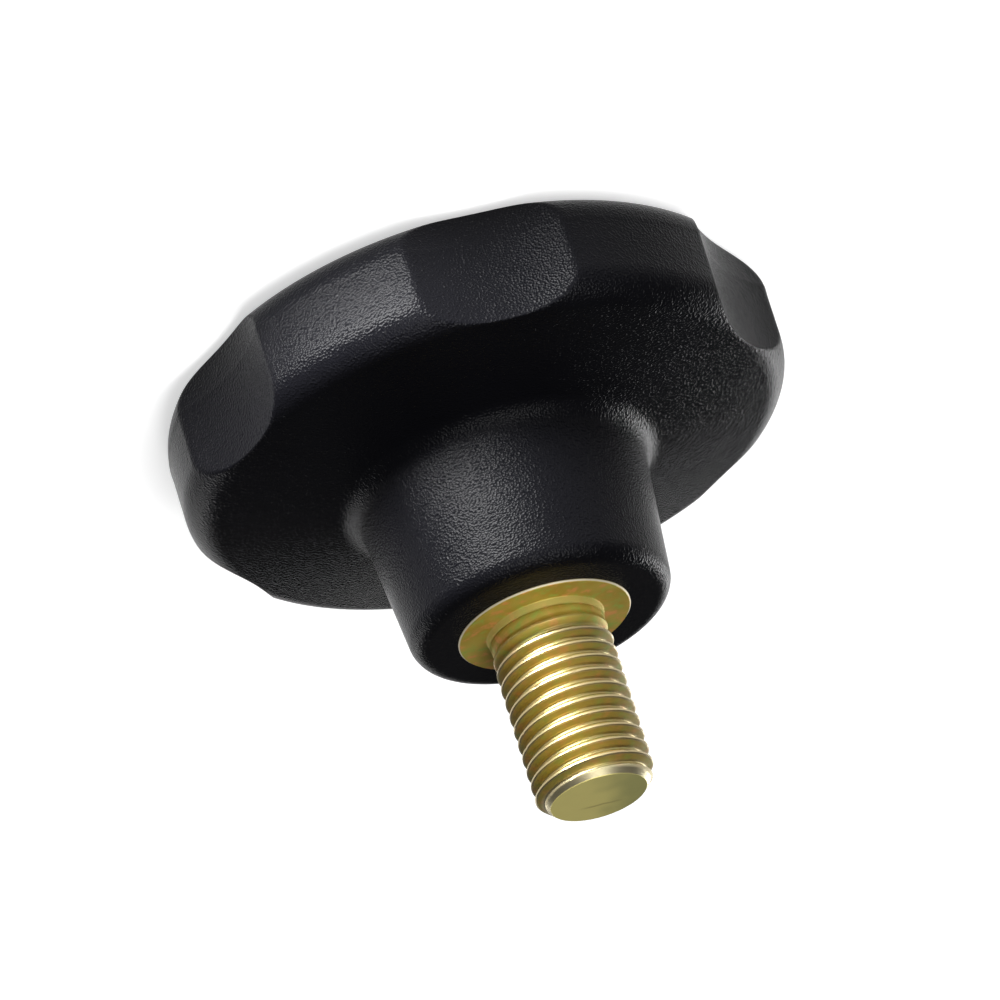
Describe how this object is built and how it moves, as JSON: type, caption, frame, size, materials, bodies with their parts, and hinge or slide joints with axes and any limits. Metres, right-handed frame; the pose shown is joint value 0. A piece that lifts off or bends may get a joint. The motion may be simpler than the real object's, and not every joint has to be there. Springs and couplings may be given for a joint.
{
  "type": "lobed hand knob with threaded stud",
  "caption": "Round black plastic hand knob with finger scallops in its rim, a tapered hub and a short yellow-plated steel stud, used to clamp or adjust by hand.",
  "frame": {"origin": "centre of the crown's flat land, on which the knob stands", "axes": "+Z along the stud, from the crown to the stud's tip; +X through the middle of a lobe"},
  "size_m": [0.082, 0.0792, 0.067],
  "materials": {
    "black_plastic": "fine-grained matte moulding",
    "yellow_zinc_steel": "yellow-passivated zinc plating, slightly iridescent"
  },
  "bodies": {
    "root": {"knob_body": "black_plastic", "threaded_stud": "yellow_zinc_steel"}
  },
  "joints": []
}
